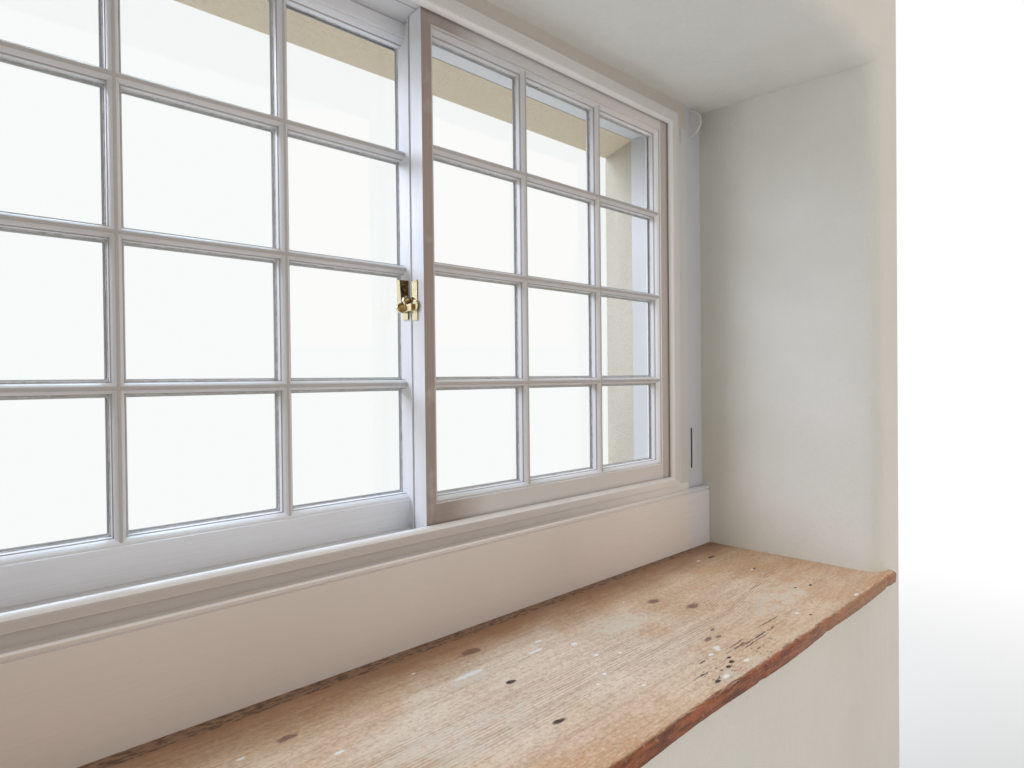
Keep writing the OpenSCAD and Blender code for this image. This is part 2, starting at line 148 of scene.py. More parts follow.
# Old pine: marks on the top, each X, Y, half length along the grain and half width, in millimetres.
NAIL_HOLES = [(659, -27, 14, 3.5), (648, -128, 6, 3), (-19, -133, 8, 4), (-38, -237, 10, 4.5),
              (596, -233, 4, 2.5), (631, -246, 6, 3), (486, -304, 4, 2.2), (223, -303, 5, 3),
              (239, -299, 6, 3), (248, -290, 4, 2.5), (176, -314, 6, 3), (-430, -150, 8, 4),
              (-620, -260, 7, 4)]
KNOTS = [(353, -93, 15, 9), (386, -154, 19, 9), (-4, -30, 24, 8), (282, -239, 13, 4), (300, -246, 8, 3),
         (318, -224, 9, 3), (-279, -55, 14, 6), (-380, -210, 16, 9), (-560, -80, 13, 9)]
PAINT_FLECKS = [(264, -262, 7, 4.5), (260, -267, 5, 4), (238, -269, 6, 3), (259, -310, 7, 3),
                (197, -314, 7, 3.5), (92, -71, 7, 2.5), (65, -91, 15, 3), (124, -113, 6, 4),
                (120, -158, 4.5, 3), (86, -202, 4, 2.5), (99, -255, 3.5, 2.5), (59, -214, 2.5, 2),
                (477, -286, 5, 3),
                (639, -322, 9, 3), (-49, -81, 26, 5), (-99, -28, 3, 2), (614, -23, 7, 3), (641, -127, 6, 2.5),
                (150, -178, 3, 2), (310, -60, 3, 2), (-250, -120, 6, 3), (-330, -60, 5, 2),
                (-480, -240, 7, 3)]
PALE_STAINS = [(226, -112, 62, 36), (518, -232, 110, 36), (-50, -85, 50, 18), (-160, -190, 130, 40),
               (-520, -170, 120, 40), (228, -318, 62, 14)]
CRACKS = [(308, -282, 50, 1.5), (352, -285, 66, 1.5), (324, -290, 48, 1.2), (408, -270, 38, 1.2),
          (175, -292, 18, 1.8), (213, -272, 12, 1.8), (296, -275, 32, 1.0), (551, -180, 26, 1.0)]

# Meshes: how finely the board and the paint lines are cut, and small gaps and roundings.
BOARD_STEP = 0.004
TOP_ROWS = 54
FRONT_TURNS = 12
PLASTER_GAP = 0.0006
OUTLINE_STEP = 0.0035
SASH_ARRIS = 0.0009       # radius of the rounded arrises
TRIM_ARRIS = 0.0008


# Camera

def place_camera():
    """Stands where the view was taken from: left of the middle, turned 42 degrees to the right."""
    ahead, sideways = math.cos(CAMERA_YAW), math.sin(CAMERA_YAW)
    flat = math.cos(CAMERA_PITCH)
    forward = Vector((sideways * flat, ahead * flat, math.sin(CAMERA_PITCH)))
    level = Vector((ahead, -sideways, 0.0))
    upward = level.cross(forward)
    right = math.cos(CAMERA_ROLL) * level + math.sin(CAMERA_ROLL) * upward
    up = -math.sin(CAMERA_ROLL) * level + math.cos(CAMERA_ROLL) * upward
    data = bpy.data.cameras.new("camera")
    data.sensor_width = SENSOR_WIDTH
    data.lens = CAMERA_LENS
    data.clip_start = 0.02
    camera = bpy.data.objects.new("camera", data)
    camera.matrix_world = Matrix.Translation(CAMERA_PLACE) @ Matrix(
        ((right.x, up.x, -forward.x), (right.y, up.y, -forward.y), (right.z, up.z, -forward.z))).to_4x4()
    bpy.context.scene.collection.objects.link(camera)
    bpy.context.scene.camera = camera


# Materials

class Finish:
    """One material, with short calls for the nodes that feed it. Places are object coordinates in metres."""

    def __init__(self, name, roughness=0.5, metallic=0.0):
        self.material = bpy.data.materials.new(name)
        self.material.use_nodes = True
        self.tree = self.material.node_tree
        self.shader = self.tree.nodes["Principled BSDF"]
        self.shader.inputs["Roughness"].default_value = roughness
        self.shader.inputs["Metallic"].default_value = metallic
        self.place = self.tree.nodes.new("ShaderNodeTexCoord").outputs["Object"]

    def feed(self, socket, value):
        if isinstance(value, bpy.types.NodeSocket):
            self.tree.links.new(value, socket)
        elif isinstance(value, tuple) and len(value) == 3 and len(socket.default_value) == 4:
            socket.default_value = value + (1.0,)
        else:
            socket.default_value = value

    def scaled(self, x, y, z, place=None):
        """The place with each axis multiplied, to stretch or squeeze a pattern."""
        made = self.tree.nodes.new("ShaderNodeVectorMath")
        made.operation = "MULTIPLY"
        self.feed(made.inputs[0], place or self.place)
        self.feed(made.inputs[1], (x, y, z))
        return made.outputs[0]

    def shifted(self, amount, scale=None, stretch=(1.0, 1.0, 1.0)):
        """The place moved about by a noise of its own, so that a pattern wavers by the amount, in metres."""
        made = self.tree.nodes.new("ShaderNodeTexNoise")
        self.feed(made.inputs["Vector"], self.scaled(*stretch))
        made.inputs["Scale"].default_value = scale or 0.25 / amount
        made.inputs["Detail"].default_value = 2.0
        centred = self.tree.nodes.new("ShaderNodeVectorMath")
        centred.operation = "SUBTRACT"
        self.feed(centred.inputs[0], made.outputs["Color"])
        self.feed(centred.inputs[1], (0.5, 0.5, 0.5))
        away = self.tree.nodes.new("ShaderNodeVectorMath")
        away.operation = "MULTIPLY_ADD"
        self.feed(away.inputs[0], centred.outputs[0])
        self.feed(away.inputs[1], (2 * amount, 2 * amount, 2 * amount))
        self.feed(away.inputs[2], self.place)
        return away.outputs[0]

    def noise(self, place, scale, detail=3.0, roughness=0.5):
        made = self.tree.nodes.new("ShaderNodeTexNoise")
        self.feed(made.inputs["Vector"], place)
        made.inputs["Scale"].default_value = scale
        made.inputs["Detail"].default_value = detail
        made.inputs["Roughness"].default_value = roughness
        return made.outputs[0]

    def cells(self, place, scale, feature="F1", output="Distance"):
        made = self.tree.nodes.new("ShaderNodeTexVoronoi")
        made.feature = feature
        self.feed(made.inputs["Vector"], place)
        made.inputs["Scale"].default_value = scale
        return made.outputs[output]

    def bands(self, place, scale, distortion, detail, detail_scale):
        """Saw-toothed lines across Y, bent by a noise."""
        made = self.tree.nodes.new("ShaderNodeTexWave")
        made.wave_type = "BANDS"
        made.bands_direction = "Y"
        made.wave_profile = "SAW"
        self.feed(made.inputs["Vector"], place)
        made.inputs["Scale"].default_value = scale
        made.inputs["Distortion"].default_value = distortion
        made.inputs["Detail"].default_value = detail
        made.inputs["Detail Scale"].default_value = detail_scale
        return made.outputs["Fac"]

    def ramp(self, value, low, high, start=0.0, end=1.0):
        """start below low, end above high, smooth between them."""
        made = self.tree.nodes.new("ShaderNodeMapRange")
        made.interpolation_type = "SMOOTHSTEP"
        self.feed(made.inputs["Value"], value)
        rising = low <= high
        made.inputs["From Min"].default_value = low if rising else high
        made.inputs["From Max"].default_value = high if rising else low
        made.inputs["To Min"].default_value = start if rising else end
        made.inputs["To Max"].default_value = end if rising else start
        return made.outputs[0]

    def maths(self, operation, first, second=0.0):
        made = self.tree.nodes.new("ShaderNodeMath")
        made.operation = operation
        self.feed(made.inputs[0], first)
        self.feed(made.inputs[1], second)
        return made.outputs[0]

    def times(self, first, second):
        return self.maths("MULTIPLY", first, second)

    def plus(self, first, second):
        return self.maths("ADD", first, second)

    def most(self, first, second):
        return self.maths("MAXIMUM", first, second)

    def apart(self, first, second):
        """How far one value lies from another."""
        return self.maths("ABSOLUTE", self.maths("SUBTRACT", first, second))

    def axes(self, place=None):
        made = self.tree.nodes.new("ShaderNodeSeparateXYZ")
        self.feed(made.inputs[0], place or self.place)
        return made.outputs[0], made.outputs[1], made.outputs[2]

    def joined(self, x, y, z):
        made = self.tree.nodes.new("ShaderNodeCombineXYZ")
        for socket, value in zip(made.inputs, (x, y, z)):
            self.feed(socket, value)
        return made.outputs[0]

    def facing(self):
        """The surface's own direction, as X, Y and Z."""
        made = self.tree.nodes.new("ShaderNodeNewGeometry")
        return self.axes(made.outputs["True Normal"])

    def blend(self, share, first, second):
        made = self.tree.nodes.new("ShaderNodeMix")
        made.data_type = "RGBA"
        self.feed(made.inputs[0], share)
        self.feed(made.inputs[6], first)
        self.feed(made.inputs[7], second)
        return made.outputs[2]

    def tinted(self, colour, tone, pattern, low, high, share):
        """The colour, with at most the given share of the tone: none below low, all of it above high."""
        return self.blend(self.times(self.ramp(pattern, low, high), share), colour, tone)

    def spot(self, place, middle, reach):
        """1 at the middle, 0 past the reach, which may differ for each axis."""
        off = self.tree.nodes.new("ShaderNodeVectorMath")
        off.operation = "SUBTRACT"
        self.feed(off.inputs[0], place)
        self.feed(off.inputs[1], middle)
        near = self.scaled(1 / reach[0], 1 / reach[1], 1 / reach[2], off.outputs[0])
        length = self.tree.nodes.new("ShaderNodeVectorMath")
        length.operation = "LENGTH"
        self.feed(length.inputs[0], near)
        return self.ramp(length.outputs["Value"], 1.0, 0.55)

    def spots(self, place, marks):
        """The union of many spots, each (middle, reach)."""
        total = None
        for middle, reach in marks:
            one = self.spot(place, middle, reach)
            total = one if total is None else self.most(total, one)
        return total

    def finish(self, colour, height=None, distance=0.001, roughness=None):
        """Joins colour, relief and roughness to the shader."""
        self.feed(self.shader.inputs["Base Color"], colour)
        if roughness is not None:
            self.feed(self.shader.inputs["Roughness"], roughness)
        if height is not None:
            bump = self.tree.nodes.new("ShaderNodeBump")
            bump.inputs["Strength"].default_value = 1.0
            bump.inputs["Distance"].default_value = distance
            self.feed(bump.inputs["Height"], height)
            self.tree.links.new(bump.outputs[0], self.shader.inputs["Normal"])
        return self.material


def white_paint(name, run, base=PAINT, face=None, spread=(0.0, 1.0, 1.0), crest=None, far=None, end=None,
                slot=None, flakes=(), feet=True, nose=0.0, outer_grey=0.0, waves=0.8):
    """Old gloss paint with brush marks along one axis, grime and painted shade in the quirks, a few chips,
    and painted light, shade and highlights where given.

    face is a painted shade for what faces the room, mixed with some grime; spread gives the X up to which it
    is full, the X from which only a share is left, and that share. crest is the painted highlight on rounded
    noses, far the painted light toward the right reveal and end the paler, cooler painted light of the last
    hand's breadth. slot is a slot's X, bottom and top, painted dark for the shade inside it. feet is the
    painted shade and grime at the foot of the mouldings, nose the painted shade on the bars' fronts,
    outer_grey the greying of the frame's outer half, waves the height of the slow waves in the paint.
    """
    f = Finish(name, roughness=0.4)
    stretch = {"x": (0.03, 1.0, 1.0), "z": (1.0, 1.0, 0.03), "both": (0.35, 0.35, 0.35)}[run]
    brush = f.noise(f.scaled(*stretch), 420.0, 2.0, 0.6)
    runs = f.noise(f.scaled(*stretch), 90.0, 1.0, 0.5)
    patches = f.noise(f.place, 5.0, 1.0, 0.55)
    specks = f.noise(f.place, 260.0, 3.0, 0.7)
    x, y, z = f.axes()
    ny = f.facing()[1]
    colour = f.blend(f.ramp(patches, 0.35, 0.7), base, tuple(0.97 * part for part in base))
    # far: painted light, paler toward the right reveal
    if far:
        colour = f.blend(f.ramp(x, *FAR_RUN), colour, far)
    # crest: painted highlight on the rounded noses
    if crest:
        rounded = f.times(f.ramp(ny, FLAT_ON, TURNING), f.ramp(ny, -0.05, -0.25))
        colour = f.blend(rounded, colour, crest)
    # face: painted shade on what faces the room, mixed with some uneven grime
    if face:
        uneven = f.ramp(f.noise(f.place, 26.0, 2.0), 0.2, 0.45, 0.8, 1.0)
        painted_dark_toward_room = f.times(f.ramp(ny, TURNING, FLAT_ON), uneven)
        painted_dark_toward_room = f.times(painted_dark_toward_room, f.ramp(y, FACE_Y + 0.005, FACE_Y + 0.002))
        full, gone, rest = spread
        colour = f.blend(f.times(painted_dark_toward_room, f.ramp(x, full, gone, 1.0, rest)), colour, face)
    # end: painted light, the last hand's breadth turns paler and cooler
    if end:
        colour = f.blend(f.ramp(x, *END_RUN), colour, end)
    # slot: painted shade, coloured dark for the shade inside the slot
    if slot:
        middle, bottom, top = slot
        within = f.times(f.ramp(z, bottom - 0.002, bottom), f.ramp(z, top + 0.002, top))
        colour = f.blend(f.times(f.ramp(f.apart(x, middle), 0.0034, 0.0028), within), colour, SLOT_SHADE)
    patchy = f.ramp(f.noise(f.place, 12.0, 2.0, 0.6), 0.3, 0.6, 0.5, 0.8)
    colour = f.tinted(colour, OUTSIDE_GREY, ny, 0.4, 0.8, patchy)
    # greyer toward the frame's outer half
    if outer_grey:
        colour = f.tinted(colour, OUTER_HALF_GREY, y, *OUTER_HALF_RUN, outer_grey)
    colour = f.tinted(colour, BRUSH_SHADE, brush, 0.42, 0.7, 0.12)
    colour = f.tinted(colour, DUST, specks, 0.66, 0.76, 0.35)
    height = f.plus(f.times(brush, 0.55), f.times(runs, waves))
    # painted shade and grime in the crease at the foot of each moulding
    for face_y in (FACE_Y, FACE_Y + TRACK_PITCH) if feet else ():
        foot = f.apart(y, face_y + FOOT_DEPTH + 0.0003)
        colour = f.tinted(colour, FOOT_GRIME_AND_SHADE, foot, 0.0022, 0.0007, 0.8)
        # painted shade on the room-facing fronts of the bars
        if nose:
            colour = f.tinted(colour, NOSE_SHADE, f.apart(y, face_y + NOSE_SINK), 0.0016, 0.0006, nose)
    if flakes:
        ragged = f.plus(f.spots(f.shifted(0.0015), flakes), f.times(f.noise(f.place, 420.0, 4.0, 0.7), 0.9))
        bare = f.ramp(ragged, 1.18, 1.26)
        colour = f.blend(bare, colour, f.blend(f.noise(f.place, 500.0), DARK_WOOD, BARE_WOOD))
        height = f.plus(height, f.times(bare, -1.6))
    rough = f.ramp(f.plus(patches, f.times(brush, 0.3)), 0.4, 0.9, 0.34, 0.52)
    return f.finish(colour, height, 0.00022, rough)


def paint_edge():
    """Paint and putty run onto the glass, thinner and greyer than the paint on the wood."""
    f = Finish("paint_edge", roughness=0.5)
    patches = f.noise(f.place, 70.0, 4.0, 0.7)
    colour = f.blend(f.ramp(patches, 0.4, 0.65), (0.74, 0.745, 0.75), (0.50, 0.50, 0.49))
    return f.finish(colour, f.noise(f.place, 600.0, 3.0), 0.0003)


def plaster(name):
    """Hand-trowelled wall plaster under chalky grey-green paint; its cut ends look like lime mortar."""
    f = Finish(name, roughness=0.85)
    sway = f.noise(f.scaled(1.0, 1.0, 0.7), 4.5, 2.0, 0.5)
    trowel = f.noise(f.scaled(1.0, 1.0, 0.35), 34.0, 3.0, 0.6)
    grit = f.noise(f.place, 420.0, 2.0, 0.65)
    nibs = f.ramp(f.noise(f.place, 110.0, 1.0), 0.70, 0.80)
    x, y, z = f.axes()
    nz = f.facing()[2]
    pale, dull = (0.84, 0.855, 0.83), (0.80, 0.815, 0.785)
    colour = f.blend(f.ramp(f.noise(f.place, 2.6, 3.0, 0.6), 0.35, 0.65), pale, dull)
    colour = f.tinted(colour, (0.68, 0.68, 0.62), grit, 0.5, 0.75, 0.2)
    # painted shade on the plaster close to the frame
    shade_near_frame = f.times(f.ramp(y, -0.09, 0.055), f.ramp(nz, -0.85, -0.5))
    colour = f.blend(f.times(shade_near_frame, 0.55), colour, (0.42, 0.405, 0.34))
    behind_face = f.ramp(y, WALL_FACE + 0.016, WALL_FACE + 0.020)
    cut_end = f.times(f.ramp(f.maths("ABSOLUTE", x), WALL_END - 0.0010, WALL_END - 0.0004), behind_face)
    colour = f.blend(cut_end, colour, f.blend(grit, (0.50, 0.45, 0.37), (0.60, 0.55, 0.46)))
    height = f.plus(f.times(sway, 2.2), f.plus(f.times(trowel, 0.8), f.times(grit, 0.16)))
    height = f.plus(height, f.times(nibs, 0.12))
    return f.finish(colour, height, 0.004, f.ramp(trowel, 0.3, 0.7, 0.78, 0.92))


def outside_render():
    """Cream roughcast, warmer under the soffit, with weather stains and damp at the foot."""
    f = Finish("roughcast", roughness=0.93)
    z = f.axes()[2]
    nz = f.facing()[2]
    stones = f.cells(f.shifted(0.004), 150.0)
    coarse = f.noise(f.place, 55.0, 3.0, 0.6)
    fine = f.noise(f.place, 650.0, 1.0)
    wash = f.noise(f.scaled(1.0, 1.0, 0.25), 5.0, 3.0, 0.6)
    colour = f.blend(f.ramp(wash, 0.35, 0.65), (0.50, 0.455, 0.36), (0.44, 0.40, 0.315))
    colour = f.blend(f.ramp(nz, -0.5, -0.9), colour, (0.72, 0.60, 0.435))
    colour = f.tinted(colour, (0.42, 0.37, 0.28), stones, 0.55, 0.15, 0.12)
    damp = f.times(f.ramp(z, 0.35, 0.0), f.ramp(f.noise(f.place, 9.0, 4.0), 0.4, 0.6))
    colour = f.blend(f.times(damp, 0.55), colour, (0.27, 0.27, 0.20))
    height = f.plus(f.times(f.ramp(stones, 0.6, 0.0), 0.3), f.plus(f.times(coarse, 0.9), f.times(fine, 0.2)))
    return f.finish(colour, height, 0.003)


def sill_stone():
    """Fine-bedded sandstone with darker clouds and lichen."""
    f = Finish("sandstone", roughness=0.9)
    bed = f.noise(f.scaled(0.15, 0.4, 1.0), 60.0, 5.0, 0.6)
    grain = f.noise(f.place, 800.0, 3.0, 0.7)
    cloud = f.noise(f.place, 7.0, 4.0, 0.6)
    colour = f.blend(f.ramp(bed, 0.35, 0.65), (0.46, 0.385, 0.28), (0.56, 0.49, 0.38))
    colour = f.blend(f.ramp(cloud, 0.5, 0.75), colour, (0.30, 0.27, 0.22))
    lichen = f.times(f.ramp(f.cells(f.shifted(0.006), 34.0), 0.3, 0.16), f.ramp(cloud, 0.42, 0.55))
    colour = f.blend(f.times(lichen, 0.7), colour, (0.52, 0.54, 0.45))
    height = f.plus(f.times(bed, 0.6), f.plus(f.times(grain, 0.35), f.times(lichen, 0.3)))
    return f.finish(colour, height, 0.002)


def rubble():
    """The wall's core where it is cut: grey and brown stones in lime mortar."""
    f = Finish("rubble_masonry", roughness=0.92)
    wavering = f.scaled(1.0, 1.0, 1.7, f.shifted(0.022))
    edge = f.cells(wavering, 5.6, "DISTANCE_TO_EDGE")
    tone = f.tree.nodes.new("ShaderNodeSeparateColor")
    f.feed(tone.inputs[0], f.cells(wavering, 5.6, "F1", "Color"))
    grain = f.noise(f.place, 300.0, 5.0, 0.7)
    face = f.noise(f.place, 38.0, 5.0, 0.65)
    stone = f.blend(tone.outputs[0], (0.36, 0.33, 0.29), (0.50, 0.42, 0.31))
    stone = f.blend(f.times(tone.outputs[1], 0.55), stone, (0.27, 0.27, 0.27))
    stone = f.blend(f.ramp(face, 0.4, 0.7), stone, (0.44, 0.40, 0.34))
    mortar = f.blend(grain, (0.56, 0.51, 0.42), (0.66, 0.61, 0.52))
    joint = f.ramp(f.plus(edge, f.times(f.noise(f.place, 60.0, 3.0), 0.06)), 0.105, 0.075)
    colour = f.tinted(f.blend(joint, stone, mortar), (0.22, 0.20, 0.18), grain, 0.5, 0.75, 0.3)
    dome = f.ramp(edge, 0.06, 0.22)
    height = f.plus(f.times(dome, 1.6), f.plus(f.times(face, 0.9), f.times(grain, 0.25)))
    return f.finish(colour, height, 0.008)


def brass():
    """Polished brass with a little tarnish, a painted dark reflection of the room where it faces the room,
    and fine scratches.
    """
    f = Finish("polished_brass", roughness=0.16, metallic=1.0)
    ny = f.facing()[1]
    tarnish = f.ramp(f.noise(f.place, 110.0, 4.0, 0.6), 0.5, 0.75)
    # painted reflection: darker and browner where the brass faces the room
    painted_dark_toward_room = f.times(f.ramp(ny, -0.2, -0.75), f.ramp(f.noise(f.place, 160.0, 3.0), 0.3, 0.6, 0.65, 1.0))
    colour = f.blend(f.times(tarnish, 0.35), (0.83, 0.74, 0.50), (0.60, 0.44, 0.20))
    colour = f.blend(painted_dark_toward_room, colour, (0.17, 0.085, 0.025))
    scratches = f.noise(f.scaled(1.0, 1.0, 0.12), 2200.0, 2.0)
    rough = f.ramp(f.plus(tarnish, f.times(scratches, 0.4)), 0.1, 1.2, 0.12, 0.38)
    return f.finish(colour, scratches, 0.00003, rough)


def pane():
    """Thin old sheet glass: clear straight through, with a slightly wavy reflection."""
    f = Finish("old_sheet_glass", roughness=0.02)
    ripple = f.noise(f.scaled(1.0, 1.0, 0.4), 14.0, 1.0)
    bump = f.tree.nodes.new("ShaderNodeBump")
    bump.inputs["Distance"].default_value = 0.0006
    f.feed(bump.inputs["Height"], ripple)
    clear = f.tree.nodes.new("ShaderNodeBsdfTransparent")
    clear.inputs["Color"].default_value = (0.965, 0.98, 0.975, 1.0)
    gloss = f.tree.nodes.new("ShaderNodeBsdfGlossy")
    gloss.inputs["Roughness"].default_value = 0.02
    gloss.inputs["Color"].default_value = (1.0, 1.0, 1.0, 1.0)
    f.tree.links.new(bump.outputs[0], gloss.inputs["Normal"])
    slant = f.tree.nodes.new("ShaderNodeLayerWeight")
    share = f.plus(f.times(f.maths("POWER", slant.outputs["Facing"], 5.0), 0.9), 0.035)
    mixed = f.tree.nodes.new("ShaderNodeMixShader")
    f.tree.links.new(share, mixed.inputs[0])
    f.tree.links.new(clear.outputs[0], mixed.inputs[1])
    f.tree.links.new(gloss.outputs[0], mixed.inputs[2])
    out = f.tree.nodes["Material Output"]
    f.tree.links.new(mixed.outputs[0], out.inputs["Surface"])
    f.tree.nodes.remove(f.shader)
    return f.material


def flat_marks(marks):
    """Marks on the board's top as middles and reaches in metres.

    The soft edge of a mark takes a sixth of its reach, so the reach is that much longer.
    """
    return [((x / 1000, y / 1000, BOARD_TOP), (1.2 * long / 1000, 1.2 * wide / 1000, 0.004))
            for x, y, long, wide in marks]


def plank_grain(f):
    """The plank's own figure: its colour, the fibre's pattern and the furrows of the grain lines, with a
    painted pool of light on the top.
    """
    x, y, z = f.axes()
    swayed = f.shifted(0.005, 2.2, (0.6, 1.0, 1.0))
    swayed_y = f.axes(swayed)[1]
    across = f.plus(swayed_y, f.times(f.maths("MAXIMUM", f.plus(x, -0.40), 0.0), -0.18))
    along = f.joined(f.times(x, 0.02), across, z)
    rings = f.noise(along, 55.0, 2.0, 0.5)
    lines = f.ramp(f.bands(along, 66.0, 1.3, 2.0, 0.5), 0.5, 0.95)
    fibre = f.noise(f.scaled(0.02, 1.0, 1.0), 780.0, 2.0, 0.65)
    streak = f.noise(f.scaled(0.05, 1.0, 1.0, swayed), 150.0, 3.0, 0.6)
    speck = f.noise(f.scaled(0.4, 1.0, 1.0), 420.0, 2.0, 0.6)
    cloud = f.noise(f.scaled(0.5, 1.0, 1.0), 8.0, 5.0, 0.65)
    blotch = f.noise(f.scaled(0.6, 1.0, 1.0, f.shifted(0.02)), 26.0, 4.0, 0.6)
    mottle = f.noise(f.scaled(0.7, 1.0, 1.0), 165.0, 4.0, 0.72)

    colour = f.blend(f.ramp(cloud, 0.38, 0.62), HONEY, PALE_PINE)
    colour = f.tinted(colour, BLOTCH, blotch, 0.52, 0.66, 0.38)
    # painted pool of light and sheen in the middle of the top
    light_pool = f.spot(f.shifted(0.03), (0.04, -0.150, BOARD_TOP), (0.36, 0.17, 0.02))
    colour = f.blend(f.times(light_pool, 0.6), colour, LIGHT_POOL)
    colour = f.tinted(colour, RING_BROWN, rings, 0.45, 0.66, 0.28)

    band = f.ramp(f.maths("ABSOLUTE", f.plus(across, 0.188)), 0.047, 0.033)
    faint = f.times(f.ramp(f.noise(f.scaled(0.3, 1.0, 1.0), 9.0, 2.0), 0.54, 0.66), 0.15)
    broken = f.ramp(f.noise(f.scaled(0.12, 1.0, 1.0), 70.0, 2.0), 0.36, 0.6, 0.25, 1.0)
    grain = f.times(f.times(lines, broken), f.most(f.times(band, 0.95), faint))
    colour = f.blend(f.times(grain, 0.62), colour, GRAIN_BROWN)

    colour = f.tinted(colour, STREAK_BROWN, streak, 0.52, 0.7, 0.3)
    colour = f.tinted(colour, FIBRE_BROWN, fibre, 0.5, 0.74, 0.45)
    colour = f.tinted(colour, MOTTLE_DARK, mottle, 0.5, 0.64, 0.36)
    colour = f.tinted(colour, MOTTLE_PALE, mottle, 0.47, 0.36, 0.36)
    colour = f.tinted(colour, SPECK_DARK, speck, 0.54, 0.68, 0.34)
    colour = f.tinted(colour, SPECK_PALE, speck, 0.46, 0.32, 0.30)
    return colour, fibre, f.times(lines, band)


def plank_marks(f, colour, fibre):
    """What use has left on the top: the new colour, the pale stains and the nail holes; also painted shade
    along the back, against the apron.
    """
    x, y, z = f.axes()
    fine = f.shifted(0.0022)
    stain = f.times(f.spots(f.shifted(0.014), flat_marks(PALE_STAINS)), f.ramp(fibre, 0.25, 0.6))
    colour = f.blend(f.times(stain, 0.62), colour, STAIN)
    knots = f.spots(f.shifted(0.006), flat_marks(KNOTS))
    colour = f.blend(f.times(knots, 0.82), colour, KNOT)

    # painted shade and grime, darker toward the apron
    back_wobble = f.times(f.noise(f.scaled(0.5, 1.0, 1.0), 14.0, 2.0), 0.05)
    colour = f.tinted(colour, BACK_SHADE_AND_GRIME, f.plus(y, back_wobble), -0.055, 0.06, 0.90)
    # painted shade with mottled grime in the strip against the apron
    corner_mottle = f.noise(f.scaled(0.35, 1.0, 1.0), 190.0, 4.0, 0.7)
    reach = f.plus(f.plus(y, f.times(corner_mottle, 0.022)), f.ramp(x, 0.05, 0.55, 0.0, -0.006))
    corner_shade_tone = f.blend(f.ramp(corner_mottle, 0.44, 0.6), CORNER_SHADE_PALE, CORNER_SHADE_DARK)
    colour = f.tinted(colour, corner_shade_tone, reach, 0.027, 0.031, 0.8)

    pits_here = f.spot(f.shifted(0.012), (0.262, -0.301, BOARD_TOP), (0.125, 0.034, 0.02))
    pits = f.times(pits_here, f.ramp(f.noise(f.scaled(0.3, 1.0, 1.0), 330.0, 2.0), 0.63, 0.68))
    torn = f.ramp(f.noise(f.scaled(0.2, 1.0, 1.0), 190.0, 2.0), 0.36, 0.5)
    cracks = f.times(f.spots(f.shifted(0.003), flat_marks(CRACKS)), torn)
    holes = f.spots(fine, flat_marks(NAIL_HOLES))
    dark = f.most(holes, f.most(f.times(pits, 0.85), f.times(cracks, 0.9)))
    colour = f.blend(dark, colour, PIT)
    rubbed = f.ramp(f.noise(f.place, 300.0, 2.0), 0.26, 0.34)
    flecks = f.times(f.spots(fine, flat_marks(PAINT_FLECKS)), rubbed)
    return f.blend(flecks, colour, FLECK), stain, holes


def plank_edge(f, colour, front):
    """The raw, worn front edge and the rim above it, in its own tones."""
    x, y, z = f.axes()
    streaks = f.noise(f.scaled(0.12, 1.0, 1.0), 160.0, 4.0, 0.65)
    tone = f.blend(f.ramp(streaks, 0.38, 0.64), EDGE_RED, EDGE_DARK)
    tone = f.blend(f.ramp(x, 0.30, 0.62, 0.0, 0.6), tone, EDGE_FAR)
    tone = f.tinted(tone, EDGE_TORN, f.noise(f.place, 130.0, 3.0), 0.6, 0.7, 0.5)
    tone = f.tinted(tone, EDGE_HOLE, f.cells(f.shifted(0.002), 120.0), 0.22, 0.1, 0.7)
    ragged = f.times(f.noise(f.scaled(0.45, 1.0, 1.0), 170.0, 4.0, 0.65), 0.014)
    rim = f.plus(f.maths("SUBTRACT", 0.0, y), ragged)
    return f.blend(f.most(front, f.ramp(rim, 0.3315, 0.3375)), colour, tone)


def pine():
    """One old plank: honey-coloured heart, long dark grain lines, knots, nail holes, stains and wear."""
    f = Finish("old_pine", roughness=0.62)
    front = f.ramp(f.facing()[1], -0.25, -0.7)
    colour, fibre, furrows = plank_grain(f)
    colour, stain, holes = plank_marks(f, colour, fibre)
    colour = plank_edge(f, colour, front)
    hollows = f.noise(f.scaled(0.5, 1.0, 1.0), 8.0, 2.0, 0.65)
    torn_front = f.times(front, f.noise(f.scaled(0.4, 1.0, 1.0), 260.0, 2.0, 0.7))
    height = f.plus(f.times(fibre, 0.5), f.plus(f.times(furrows, -0.3), f.times(hollows, 1.2)))
    height = f.plus(height, f.times(holes, -2.6))
    height = f.plus(height, f.times(torn_front, 2.2))
    rough = f.ramp(f.plus(fibre, f.times(stain, 0.3)), 0.3, 0.9, 0.5, 0.8)
    return f.finish(colour, height, 0.0006, rough)


# Pieces

def add_mesh(name, verts, faces, material):
    """Makes a mesh piece in the row frame that rides on the part."""
    mesh = bpy.data.meshes.new(name)
    mesh.from_pydata(verts, [], faces)
    mesh.validate()
    mesh.update()
    mesh.materials.append(material)
    piece = bpy.data.objects.new(name, mesh)
    bpy.context.scene.collection.objects.link(piece)
    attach(piece, "root")
    return piece


def wobble(x, y, z, size):
    """Smooth noise from -1 to 1 with features of the given size."""
    return noise.noise(Vector((x / size, y / size, z / size)))


def board_back(x):
    """Where the board meets the apron, the splayed reveal or the rounded plaster corner."""
    x = abs(x)
    if x <= RECESS_HALF:
        return BOARD_BACK
    turn_x = CORNER_X - 0.996 * CORNER_RADIUS
    if x <= turn_x:
        return max(BOARD_BACK - (x - RECESS_HALF) / REVEAL_SLOPE, CORNER_Y)
    if x < CORNER_X:
        return CORNER_Y - math.sqrt(max(CORNER_RADIUS ** 2 - (CORNER_X - x) ** 2, 0.0))
    return WALL_FACE


def board_front(x):
    """The waney front edge: long shallow hollows and short torn bites, in metres behind the box."""
    bite = max(0.0, wobble(x, 3.0, 0.0, 0.035) - 0.25) * 0.006
    return BOARD_FRONT + 0.0012 + 0.0045 * (1 + wobble(x, 0.0, 0.0, 0.23)) + bite


